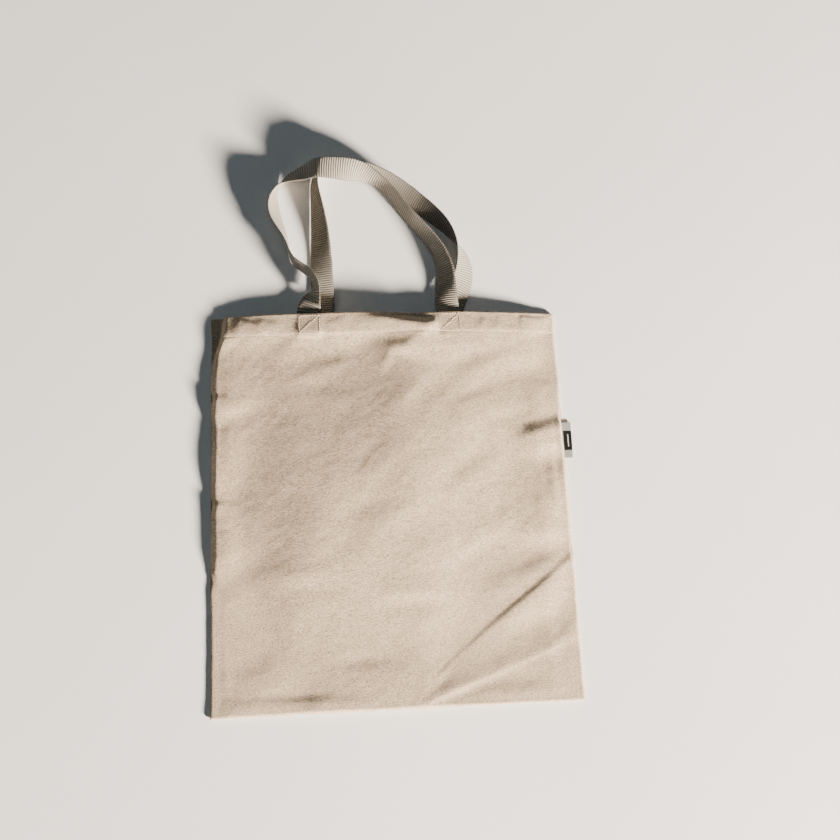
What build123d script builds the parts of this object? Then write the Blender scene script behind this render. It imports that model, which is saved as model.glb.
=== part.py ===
from build123d import *
import math
import os

# Flat canvas tote bag lying on its back panel.
# +X to the bag's right, +Y from the bottom seam to the mouth, +Z up.
# Z = 0 is the outer face of the back panel. All sizes in millimetres.

os.makedirs("parts", exist_ok=True)

# ---- cloth bag --------------------------------------------------------------
BAG_W = 380.0            # across the side seams
BAG_H = 420.0            # bottom seam to mouth
CLOTH = 0.8              # canvas thickness
HEM_D = 25.0             # depth of the mouth hem
HEM_PLY = 1.6            # two extra plies folded to the inside of the hem
SEAM_D = 10.0            # seam allowance folded to the inside
SEAM_PLY = 0.8           # one ply of allowance on each panel
EDGE_Z = 3.6             # outer face of the front panel along the side seams
RISE_MOUTH = 12.0        # how far the front panel arches up at the mouth
RISE_BOTTOM = 4.0        # and at the bottom seam

# ---- webbing handles --------------------------------------------------------
WEB_W = 25.4             # one inch webbing
WEB_T = 1.8
STUB_Y = 213.3           # the sewn ends stand out of the hem to here
LOOP_Y = 213.6           # the loose loops start here
TAB_Y0 = BAG_H / 2 - HEM_D + 1.0
FRONT_END_X = (-83.5, 70.2)
BACK_END_X = (-68.5, 74.0)
FRONT_END_Z = 10.2       # middle of the webbing thickness in the front hem
BACK_END_Z = 3.3

# ---- thread and label -------------------------------------------------------
STITCH_W = 0.6
STITCH_T = 0.3
BOX_W = 22.0             # box-and-cross stitching over each handle end
BOX_H = 20.0
HEM_LINE_Y = BAG_H / 2 - HEM_D + 1.6
LABEL_W = 9.0
LABEL_L = 40.0
LABEL_T = 0.6
LABEL_X = 190.9
LABEL_Y = 64.0
LABEL_Z = 1.75

HW, HH = BAG_W / 2, BAG_H / 2


def rise(y):
    """Arch height of the front panel at a distance along the bag."""
    return RISE_BOTTOM + (RISE_MOUTH - RISE_BOTTOM) * (y + HH) / BAG_H


def top_z(x, y):
    """Outer face of the front panel: a circular arc across the bag."""
    h = rise(y)
    r = (HW * HW + h * h) / (2 * h)
    return EDGE_Z + math.sqrt(r * r - x * x) - (r - h)


def arch_profile(y, x0, x1, drop_a, drop_b):
    """Closed band between two copies of the front arc, as X and Z points."""
    xm = (x0 + x1) / 2
    a = [(x, top_z(x, y) - drop_a) for x in (x0, xm, x1)]
    b = [(x, top_z(x, y) - drop_b) for x in (x0, xm, x1)]
    return a, b


# Stations along each loose loop: middle of the webbing, then the direction of
# its width. The webbing stands on its edge where it curves sideways.
FRONT_ROUTE = [
    (-83.5, 213.6, 10.2, 1.000, 0.000, 0.000),
    (-82.8, 217.6, 10.3, 0.985, -0.100, 0.090),
    (-80.9, 223.0, 11.6, 0.850, -0.400, 0.330),
    (-76.9, 231.9, 16.1, 0.470, -0.428, 0.772),
    (-75.8, 241.4, 18.3, 0.276, -0.056, 0.960),
    (-78.3, 250.3, 18.1, 0.041, 0.137, 0.990),
    (-83.6, 258.0, 16.7, -0.072, 0.138, 0.988),
    (-90.9, 264.4, 15.4, -0.088, 0.100, 0.991),
    (-98.0, 271.0, 14.2, -0.081, 0.086, 0.993),
    (-102.6, 279.3, 13.1, -0.053, 0.079, 0.995),
    (-105.3, 289.2, 12.9, -0.092, 0.047, 0.995),
    (-108.0, 299.3, 12.7, -0.226, -0.027, 0.974),
    (-111.6, 308.9, 12.2, -0.357, -0.121, 0.926),
    (-115.4, 318.2, 11.7, -0.446, -0.170, 0.879),
    (-118.6, 327.5, 11.5, -0.497, -0.146, 0.855),
    (-120.3, 337.1, 11.7, -0.479, -0.053, 0.876),
    (-119.8, 347.2, 12.5, -0.313, 0.031, 0.949),
    (-116.7, 357.2, 12.8, -0.007, -0.027, 1.000),
    (-111.2, 365.7, 12.2, 0.269, -0.280, 0.922),
    (-103.6, 371.9, 12.6, 0.294, -0.579, 0.761),
    (-94.8, 376.0, 13.7, 0.175, -0.793, 0.583),
    (-85.9, 378.3, 16.5, -0.018, -0.939, 0.343),
    (-77.6, 379.2, 22.7, -0.071, -0.989, 0.129),
    (-69.2, 379.0, 27.5, -0.072, -0.995, 0.072),
    (-60.1, 378.4, 28.4, -0.072, -0.997, -0.024),
    (-50.4, 377.8, 28.0, -0.072, -0.985, -0.158),
    (-40.5, 377.3, 26.7, -0.111, -0.913, -0.393),
    (-30.5, 377.1, 23.9, -0.242, -0.711, -0.660),
    (-20.8, 376.9, 19.8, -0.390, -0.437, -0.811),
    (-11.5, 374.6, 16.4, -0.339, -0.181, -0.923),
    (-2.9, 369.8, 14.4, -0.221, -0.083, -0.972),
    (4.9, 363.3, 13.5, -0.154, -0.068, -0.986),
    (11.5, 355.8, 13.0, -0.149, -0.072, -0.986),
    (17.1, 348.0, 12.8, -0.172, -0.086, -0.981),
    (22.2, 339.9, 12.7, -0.194, -0.108, -0.975),
    (27.6, 331.7, 12.7, -0.204, -0.136, -0.969),
    (33.8, 323.5, 12.6, -0.207, -0.165, -0.964),
    (40.6, 315.4, 12.6, -0.224, -0.185, -0.957),
    (47.2, 307.3, 12.5, -0.250, -0.192, -0.949),
    (53.3, 299.3, 12.4, -0.284, -0.189, -0.940),
    (58.6, 291.1, 12.2, -0.334, -0.176, -0.926),
    (63.1, 282.7, 12.0, -0.408, -0.153, -0.900),
    (66.4, 273.7, 11.5, -0.507, -0.112, -0.855),
    (68.6, 264.2, 11.0, -0.621, -0.043, -0.783),
    (69.4, 254.0, 10.3, -0.728, 0.023, -0.685),
    (69.4, 243.3, 9.7, -0.826, 0.049, -0.562),
    (69.1, 232.8, 9.2, -0.915, 0.028, -0.403),
    (69.2, 222.7, 9.2, -0.978, -0.049, -0.205),
    (70.2, 213.6, 10.2, -1.000, 0.000, 0.000),
]
BACK_ROUTE = [
    (-68.5, 213.6, 3.3, 1.000, 0.000, 0.000),
    (-68.4, 223.9, 3.5, 0.998, -0.013, 0.064),
    (-68.3, 234.1, 3.8, 0.992, -0.013, 0.124),
    (-68.2, 244.1, 4.1, 0.983, -0.013, 0.184),
    (-68.2, 254.0, 4.6, 0.969, -0.011, 0.245),
    (-68.2, 263.8, 5.1, 0.951, -0.009, 0.308),
    (-68.3, 273.6, 5.7, 0.928, -0.006, 0.374),
    (-68.6, 283.4, 6.6, 0.896, -0.002, 0.443),
    (-68.9, 293.2, 7.5, 0.856, 0.001, 0.516),
    (-69.4, 303.0, 8.4, 0.805, 0.005, 0.593),
    (-70.0, 313.0, 9.3, 0.742, 0.007, 0.671),
    (-70.8, 323.1, 10.2, 0.664, 0.008, 0.748),
    (-71.7, 333.3, 11.1, 0.572, 0.008, 0.820),
    (-72.9, 343.7, 11.8, 0.468, 0.004, 0.884),
    (-74.1, 354.3, 12.2, 0.377, -0.017, 0.926),
    (-74.6, 364.5, 12.4, 0.324, -0.058, 0.944),
    (-73.4, 373.9, 12.4, 0.305, -0.127, 0.944),
    (-69.9, 381.8, 12.3, 0.260, -0.253, 0.932),
    (-63.3, 387.0, 12.7, 0.109, -0.314, 0.943),
    (-54.3, 389.6, 13.0, 0.004, -0.216, 0.976),
    (-43.9, 389.9, 13.2, -0.020, -0.069, 0.997),
    (-33.5, 388.5, 13.3, 0.009, 0.070, 0.997),
    (-23.4, 385.8, 13.3, 0.065, 0.180, 0.981),
    (-13.9, 382.2, 13.2, 0.128, 0.258, 0.958),
    (-4.8, 377.9, 13.0, 0.187, 0.309, 0.933),
    (3.9, 373.0, 12.7, 0.239, 0.343, 0.908),
    (12.2, 367.6, 12.4, 0.283, 0.365, 0.887),
    (20.2, 361.7, 12.1, 0.316, 0.379, 0.870),
    (28.0, 355.5, 11.9, 0.337, 0.387, 0.858),
    (35.6, 349.0, 11.9, 0.344, 0.389, 0.855),
    (43.2, 342.2, 11.9, 0.332, 0.385, 0.861),
    (50.6, 335.3, 12.2, 0.305, 0.366, 0.879),
    (58.0, 328.3, 12.5, 0.272, 0.319, 0.908),
    (65.1, 321.0, 12.8, 0.229, 0.243, 0.943),
    (71.6, 313.4, 13.0, 0.166, 0.136, 0.977),
    (77.6, 305.5, 12.9, 0.066, 0.000, 0.998),
    (82.7, 297.1, 12.8, -0.088, -0.148, 0.985),
    (86.9, 288.3, 12.1, -0.305, -0.257, 0.917),
    (89.8, 279.0, 10.8, -0.538, -0.268, 0.799),
    (91.2, 269.5, 9.3, -0.725, -0.170, 0.667),
    (90.9, 259.9, 7.8, -0.840, 0.012, 0.543),
    (88.7, 250.2, 6.2, -0.881, 0.226, 0.415),
    (84.9, 240.6, 4.5, -0.889, 0.367, 0.273),
    (80.5, 231.2, 3.0, -0.898, 0.414, 0.151),
    (76.6, 222.2, 2.4, -0.930, 0.363, 0.057),
    (74.0, 213.6, 3.3, -1.000, 0.000, 0.000),
]


def station_planes(route, raise_z=0.0):
    pts = [Vector(*r[:3]) + Vector(0, 0, raise_z) for r in route]
    wid = [Vector(*r[3:]) for r in route]
    planes = []
    for i, p in enumerate(pts):
        if i == 0 or i == len(pts) - 1:
            tan = Vector(0, 1 if i == 0 else -1, 0)
        else:
            tan = (pts[i + 1] - pts[i - 1]).normalized()
        w = wid[i] - tan * wid[i].dot(tan)
        planes.append(Plane(origin=p, x_dir=w.normalized(), z_dir=tan))
    return planes


# ---- back panel: flat cloth, hem and seam allowances folded to the inside ----
with BuildPart() as back_panel:
    with BuildSketch(Plane.XY):
        Rectangle(BAG_W, BAG_H)
    extrude(amount=CLOTH)
    with BuildSketch(Plane.XY.offset(CLOTH / 2)):
        with Locations((0, HH - HEM_D / 2)):
            Rectangle(BAG_W, HEM_D)
    extrude(amount=CLOTH / 2 + HEM_PLY)
    with BuildSketch(Plane.XY.offset(CLOTH / 2)):
        with Locations((-HW + SEAM_D / 2, 0), (HW - SEAM_D / 2, 0)):
            Rectangle(SEAM_D, BAG_H)
        with Locations((0, -HH + SEAM_D / 2)):
            Rectangle(BAG_W, SEAM_D)
    extrude(amount=CLOTH / 2 + SEAM_PLY)
    # the hem thins out to the allowance where it enters the side seams
    with BuildSketch(Plane.XY.offset(CLOTH + SEAM_PLY)):
        with Locations((-HW + SEAM_D / 2, HH - HEM_D / 2), (HW - SEAM_D / 2, HH - HEM_D / 2)):
            Rectangle(SEAM_D, HEM_D + 1)
    extrude(amount=HEM_PLY, mode=Mode.SUBTRACT)
    # stitch lines pulled into the outer face
    with BuildSketch(Plane.XY):
        with Locations((0, HEM_LINE_Y)):
            Rectangle(BAG_W - 8, STITCH_W + 0.1)
    extrude(amount=STITCH_T + 0.1, mode=Mode.SUBTRACT)
    for bx in BACK_END_X:
        with BuildSketch(Plane.XY):
            with Locations((bx, HH - 3 - BOX_H / 2)):
                Rectangle(BOX_W + 0.1, BOX_H + 0.1)
                Rectangle(BOX_W - 2 * STITCH_W - 0.1, BOX_H - 2 * STITCH_W - 0.1, mode=Mode.SUBTRACT)
                ang = math.degrees(math.atan2(BOX_H - STITCH_W, BOX_W - STITCH_W))
                Rectangle(math.hypot(BOX_W, BOX_H) - 2.0, STITCH_W + 0.1, rotation=ang)
                Rectangle(math.hypot(BOX_W, BOX_H) - 2.0, STITCH_W + 0.1, rotation=-ang)
        extrude(amount=STITCH_T + 0.1, mode=Mode.SUBTRACT)

# ---- front panel: arched over the back panel --------------------------------
with BuildPart() as front_panel:
    for (x0, x1, y0, y1, da, db) in (
        (-HW, HW, -HH, HH, 0.0, CLOTH),
        (-HW + SEAM_D, HW - SEAM_D, HH - HEM_D, HH, CLOTH / 2, CLOTH + HEM_PLY),
        (-HW, -HW + SEAM_D, -HH, HH, CLOTH / 2, CLOTH + SEAM_PLY),
        (HW - SEAM_D, HW, -HH, HH, CLOTH / 2, CLOTH + SEAM_PLY),
        (-HW, HW, -HH, -HH + SEAM_D, CLOTH / 2, CLOTH + SEAM_PLY),
    ):
        for yy in (y0, y1):
            a, b = arch_profile(yy, x0, x1, da, db)
            with BuildSketch(Plane.XZ.offset(-yy)):
                with BuildLine():
                    ThreePointArc(*a)
                    Line(a[2], b[2])
                    ThreePointArc(b[2], b[1], b[0])
                    Line(b[0], a[0])
                make_face()
        loft(ruled=True)

# ---- sewn handle ends, inside the hems ---------------------------------------
END_MID_Y = (TAB_Y0 + STUB_Y) / 2
END_LEN = STUB_Y - TAB_Y0


def front_end_plane(x):
    """Follows the underside of the front hem."""
    y = END_MID_Y
    sx = (top_z(x + 5, y) - top_z(x - 5, y)) / 10
    sy = (top_z(x, HH) - top_z(x, TAB_Y0)) / (HH - TAB_Y0)
    xd = Vector(1, 0, sx).normalized()
    yd = Vector(0, 1, sy)
    zd = xd.cross(yd).normalized()
    z = top_z(x, y) - CLOTH - HEM_PLY - 0.15
    return Plane(origin=(x, y, z), x_dir=xd, z_dir=zd)


with BuildPart() as front_handle_left_end:
    with BuildSketch(front_end_plane(FRONT_END_X[0])):
        Rectangle(WEB_W, END_LEN)
    extrude(amount=-WEB_T)

with BuildPart() as front_handle_right_end:
    with BuildSketch(front_end_plane(FRONT_END_X[1])):
        Rectangle(WEB_W, END_LEN)
    extrude(amount=-WEB_T)

with BuildPart() as back_handle_left_end:
    with BuildSketch(Plane.XY.offset(BACK_END_Z - WEB_T / 2)):
        with Locations((BACK_END_X[0], END_MID_Y)):
            Rectangle(WEB_W, END_LEN)
    extrude(amount=WEB_T)

with BuildPart() as back_handle_right_end:
    with BuildSketch(Plane.XY.offset(BACK_END_Z - WEB_T / 2)):
        with Locations((BACK_END_X[1], END_MID_Y)):
            Rectangle(WEB_W, END_LEN)
    extrude(amount=WEB_T)

# ---- loose handle loops ------------------------------------------------------
RUN = 9                  # stations per length of ribbon, joined end to end
front_planes = station_planes(FRONT_ROUTE)
with BuildPart() as front_handle_loop:
    for i in range(0, len(front_planes) - 1, RUN):
        for pl in front_planes[i:i + RUN + 1]:
            with BuildSketch(pl):
                Rectangle(WEB_W, WEB_T)
        loft(ruled=True)

back_planes = station_planes(BACK_ROUTE)
with BuildPart() as back_handle_loop:
    for i in range(0, len(back_planes) - 1, RUN):
        for pl in back_planes[i:i + RUN + 1]:
            with BuildSketch(pl):
                Rectangle(WEB_W, WEB_T)
        loft(ruled=True)


# ---- stitching ---------------------------------------------------------------
def box_and_cross():
    """Box with a cross through it, on the open sketch."""
    Rectangle(BOX_W, BOX_H)
    Rectangle(BOX_W - 2 * STITCH_W, BOX_H - 2 * STITCH_W, mode=Mode.SUBTRACT)
    ang = math.degrees(math.atan2(BOX_H - STITCH_W, BOX_W - STITCH_W))
    Rectangle(math.hypot(BOX_W, BOX_H) - 2.2, STITCH_W, rotation=ang)
    Rectangle(math.hypot(BOX_W, BOX_H) - 2.2, STITCH_W, rotation=-ang)


def front_box_plane(x):
    y = HH - 3 - BOX_H / 2
    sx = (top_z(x + 5, y) - top_z(x - 5, y)) / 10
    sy = (top_z(x, y + 5) - top_z(x, y - 5)) / 10
    xd = Vector(1, 0, sx).normalized()
    zd = xd.cross(Vector(0, 1, sy)).normalized()
    return Plane(origin=(x, y, top_z(x, y) + 0.1), x_dir=xd, z_dir=zd)


with BuildPart() as front_left_box_stitch:
    with BuildSketch(front_box_plane(FRONT_END_X[0])):
        box_and_cross()
    extrude(amount=STITCH_T)

with BuildPart() as front_right_box_stitch:
    with BuildSketch(front_box_plane(FRONT_END_X[1])):
        box_and_cross()
    extrude(amount=STITCH_T)

with BuildPart() as back_left_box_stitch:
    with BuildSketch(Plane.XY.offset(0.05)):
        with Locations((BACK_END_X[0], HH - 3 - BOX_H / 2)):
            box_and_cross()
    extrude(amount=STITCH_T)

with BuildPart() as back_right_box_stitch:
    with BuildSketch(Plane.XY.offset(0.05)):
        with Locations((BACK_END_X[1], HH - 3 - BOX_H / 2)):
            box_and_cross()
    extrude(amount=STITCH_T)

# the hem lines stop short of the box stitching that crosses them
HEM_X = [(-HW + 5, min(FRONT_END_X) - BOX_W / 2 - 1),
         (min(FRONT_END_X) + BOX_W / 2 + 1, max(FRONT_END_X) - BOX_W / 2 - 1),
         (max(FRONT_END_X) + BOX_W / 2 + 1, HW - 5)]

with BuildPart() as front_hem_stitch:
    for (x0, x1) in HEM_X:
        a, b = arch_profile(HEM_LINE_Y, x0, x1, -0.1 - STITCH_T, -0.1)
        with BuildSketch(Plane.XZ.offset(-(HEM_LINE_Y + STITCH_W / 2))):
            with BuildLine():
                ThreePointArc(*a)
                Line(a[2], b[2])
                ThreePointArc(b[2], b[1], b[0])
                Line(b[0], a[0])
            make_face()
        extrude(amount=STITCH_W)

with BuildPart() as back_hem_stitch:
    with BuildSketch(Plane.XY.offset(0.05)):
        with Locations((0, HEM_LINE_Y)):
            Rectangle(BAG_W - 10, STITCH_W)
    extrude(amount=STITCH_T)

# ---- thread bound over the raw edges of the seam allowances, inside the bag --
THREAD_W = 1.0

with BuildPart() as left_seam_thread:
    with BuildSketch(Plane.XY.offset(CLOTH + 0.05)):
        with Locations((-HW + SEAM_D + 0.1 + THREAD_W / 2, -10)):
            Rectangle(THREAD_W, BAG_H - 2 * HEM_D - 12)
    extrude(amount=SEAM_PLY)

with BuildPart() as right_seam_thread:
    with BuildSketch(Plane.XY.offset(CLOTH + 0.05)):
        with Locations((HW - SEAM_D - 0.1 - THREAD_W / 2, -10)):
            Rectangle(THREAD_W, BAG_H - 2 * HEM_D - 12)
    extrude(amount=SEAM_PLY)

with BuildPart() as bottom_seam_thread:
    with BuildSketch(Plane.XY.offset(CLOTH + 0.05)):
        with Locations((0, -HH + SEAM_D + 0.1 + THREAD_W / 2)):
            Rectangle(BAG_W - 2 * SEAM_D - 6, THREAD_W)
    extrude(amount=SEAM_PLY)

# ---- side label: folded tape caught in the right seam ------------------------
with BuildPart() as side_label:
    with BuildSketch(Plane.XY.offset(LABEL_Z - LABEL_T / 2)):
        with Locations((LABEL_X + LABEL_W / 2, LABEL_Y)):
            Rectangle(LABEL_W, LABEL_L)
    extrude(amount=LABEL_T)

# ---- names and files ---------------------------------------------------------
pieces = {
    "back_panel": back_panel,
    "front_panel": front_panel,
    "front_handle_left_end": front_handle_left_end,
    "front_handle_right_end": front_handle_right_end,
    "front_handle_loop": front_handle_loop,
    "back_handle_left_end": back_handle_left_end,
    "back_handle_right_end": back_handle_right_end,
    "back_handle_loop": back_handle_loop,
    "front_left_box_stitch": front_left_box_stitch,
    "front_right_box_stitch": front_right_box_stitch,
    "back_left_box_stitch": back_left_box_stitch,
    "back_right_box_stitch": back_right_box_stitch,
    "front_hem_stitch": front_hem_stitch,
    "back_hem_stitch": back_hem_stitch,
    "left_seam_thread": left_seam_thread,
    "right_seam_thread": right_seam_thread,
    "bottom_seam_thread": bottom_seam_thread,
    "side_label": side_label,
}
for piece_name, piece in pieces.items():
    piece.part.label = piece_name
    export_step(piece.part, f"parts/{piece_name}.step")
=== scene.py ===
import bpy
import math
import numpy as np
from mathutils import Matrix, Vector


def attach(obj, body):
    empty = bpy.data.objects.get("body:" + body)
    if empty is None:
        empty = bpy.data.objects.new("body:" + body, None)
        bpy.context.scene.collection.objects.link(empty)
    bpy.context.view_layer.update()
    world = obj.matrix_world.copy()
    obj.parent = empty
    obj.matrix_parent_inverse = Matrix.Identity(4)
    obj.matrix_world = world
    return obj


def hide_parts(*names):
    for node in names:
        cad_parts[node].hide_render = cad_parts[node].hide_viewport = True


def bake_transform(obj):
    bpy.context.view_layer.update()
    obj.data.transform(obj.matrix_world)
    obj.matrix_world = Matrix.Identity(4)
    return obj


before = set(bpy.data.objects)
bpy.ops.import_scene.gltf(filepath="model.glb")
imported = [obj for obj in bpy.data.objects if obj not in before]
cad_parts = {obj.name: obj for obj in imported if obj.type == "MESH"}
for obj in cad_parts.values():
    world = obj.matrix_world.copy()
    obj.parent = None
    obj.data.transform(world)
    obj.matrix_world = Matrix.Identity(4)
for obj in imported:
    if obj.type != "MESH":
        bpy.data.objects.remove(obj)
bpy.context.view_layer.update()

MM = 0.001
rng = np.random.default_rng(7)

# ---------------------------------------------------------------- sizes, mm --
BAG_W, BAG_H = 380.0, 420.0
HW, HH = BAG_W / 2, BAG_H / 2
CLOTH = 0.8
HEM_D = 25.0
HEM_PLY = 1.6
SEAM_D = 10.0
EDGE_Z = 3.6
RISE_MOUTH, RISE_BOTTOM = 12.0, 4.0
WEB_W, WEB_T = 25.4, 1.8
FRONT_END_X = (-83.5, 70.2)
BACK_END_X = (-68.5, 74.0)
HEM_LINE_Y = HH - HEM_D + 1.6
BOX_W, BOX_H = 22.0, 20.0


def smooth(a, b, x):
    t = np.clip((np.asarray(x, float) - a) / (b - a), 0, 1)
    return t * t * (3 - 2 * t)


# ------------------------------------------------- shape of the front panel --
def arch(x, y):
    h = RISE_BOTTOM + (RISE_MOUTH - RISE_BOTTOM) * (y + HH) / BAG_H
    return EDGE_Z + h * (1 - (x / HW) ** 2)


def seg_field(x, y, line):
    """Distance to a line of points, signed towards the bag's lower right, and the share of the way along it."""
    pts = np.array(line, float)
    seg = np.diff(pts, axis=0)
    length = np.hypot(seg[:, 0], seg[:, 1])
    total = length.sum()
    best = np.full(x.shape, 1e9)
    sgn = np.zeros(x.shape)
    along = np.zeros(x.shape)
    run = 0.0
    for p, d, l in zip(pts[:-1], seg, length):
        ux, uy = d / l
        nx, ny = uy, -ux
        if nx * 0.7 - ny * 0.7 < 0:
            nx, ny = -nx, -ny
        t = np.clip((x - p[0]) * ux + (y - p[1]) * uy, 0, l)
        dx, dy = x - p[0] - t * ux, y - p[1] - t * uy
        dist = np.hypot(dx, dy)
        s = dx * nx + dy * ny
        closer = dist < best
        best = np.where(closer, dist, best)
        sgn = np.where(closer, np.where(s >= 0, 1.0, -1.0), sgn)
        along = np.where(closer, (run + t) / total, along)
        run += l
    return best * sgn, along


def fold(x, y, line, amp, steep, soft, ends=(0.15, 0.3), lit=False):
    """A crease. amp is its height at the two ends, steep the width of the narrow face, soft that of the wide one."""
    s, t = seg_field(x, y, line)
    a = amp[0] + (amp[1] - amp[0]) * t
    w = steep if np.isscalar(steep) else steep[0] + (steep[1] - steep[0]) * t
    keep = smooth(0, max(ends[0], 1e-3), t) if ends[0] > 0 else 1.0
    keep = keep * (1 - smooth(1 - max(ends[1], 1e-3), 1, t)) if ends[1] > 0 else keep
    if lit:
        s = -s
    g = smooth(-w / 2, w / 2, s) * np.where(s > w / 2, np.exp(-(((s - w / 2) / soft) ** 2)), 1.0)
    return a * keep * g


def roll(x, y, kind, cx, cy, ang, rx, ry, amp):
    """A soft swelling of the cloth (bump), or a soft step down from one side to the other (step)."""
    c, s = math.cos(math.radians(ang)), math.sin(math.radians(ang))
    u = ((x - cx) * c + (y - cy) * s) / rx
    v = (-(x - cx) * s + (y - cy) * c) / ry
    w = np.exp(-(u * u + v * v))
    return amp * (w if kind == "bump" else w * v * 1.6)


def dent(x, y, cx, cy, rx, ry, ang, amp):
    c, s = math.cos(math.radians(ang)), math.sin(math.radians(ang))
    u = ((x - cx) * c + (y - cy) * s) / rx
    v = (-(x - cx) * s + (y - cy) * c) / ry
    return amp * np.exp(-(u * u + v * v))


def value_noise(x, y, cell, seed, ang=0.0, stretch=1.0):
    r = np.random.default_rng(seed)
    n = 64
    g = r.uniform(-1, 1, (n, n))
    c, s = math.cos(math.radians(ang)), math.sin(math.radians(ang))
    u = ((x * c + y * s) / (cell * stretch)) % n
    v = ((-x * s + y * c) / cell) % n
    i, j = np.floor(u).astype(int), np.floor(v).astype(int)
    fu, fv = u - i, v - j
    fu, fv = fu ** 3 * (fu * (6 * fu - 15) + 10), fv ** 3 * (fv * (6 * fv - 15) + 10)
    i1, j1 = (i + 1) % n, (j + 1) % n
    return ((g[i, j] * (1 - fu) + g[i1, j] * fu) * (1 - fv)
            + (g[i, j1] * (1 - fu) + g[i1, j1] * fu) * fv)


RELIEF = 1.0
PLUMP = 4.2
# creases: each line runs along the middle of its steep face
FOLDS = [
    dict(line=[(192, -57), (150, -90), (100, -127), (60, -158), (30, -186)], amp=(2.1, 0.9), steep=(8.5, 4.5), soft=18, ends=(0, 0.12)),
    dict(line=[(192, -147), (140, -165), (100, -180), (60, -194), (18, -209)], amp=(0.8, 0.9), steep=(5, 4), soft=12, ends=(0, 0.1), lit=True),
    dict(line=[(192, 86), (160, 79), (122, 71)], amp=(7.0, 3.4), steep=(22, 15), soft=20, ends=(0, 0.5)),
    dict(line=[(-192, 122), (-180, 120), (-164, 123)], amp=(1.7, 0.8), steep=8, soft=9, ends=(0, 0.7)),
    dict(line=[(-192, 5), (-180, 6), (-162, 6)], amp=(1.7, 0.7), steep=7, soft=9, ends=(0, 0.7)),
    dict(line=[(192, -118), (160, -150), (120, -166)], amp=(0.83, 0.68), steep=10, soft=10, ends=(0, 0.5)),
    dict(line=[(192, 138), (176, 134), (154, 132)], amp=(0.73, 0.26), steep=6, soft=10, ends=(0, 0.6)),
    dict(line=[(-24, 170), (2, 179), (36, 184)], amp=(0.29, 0.16), steep=10, soft=14, ends=(0.4, 0.4)),
    dict(line=[(-66, 70), (-46, 96), (-22, 124)], amp=(0.01, 0.30), steep=5, soft=10, ends=(0.4, 0.4)),
    dict(line=[(-44, 22), (-26, 46), (4, 72)], amp=(0.51, 0.12), steep=5, soft=10, ends=(0.4, 0.4)),
    dict(line=[(44, 22), (66, 31), (96, 40)], amp=(0.13, 0.00), steep=4, soft=9, ends=(0.4, 0.4)),
]
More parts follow.
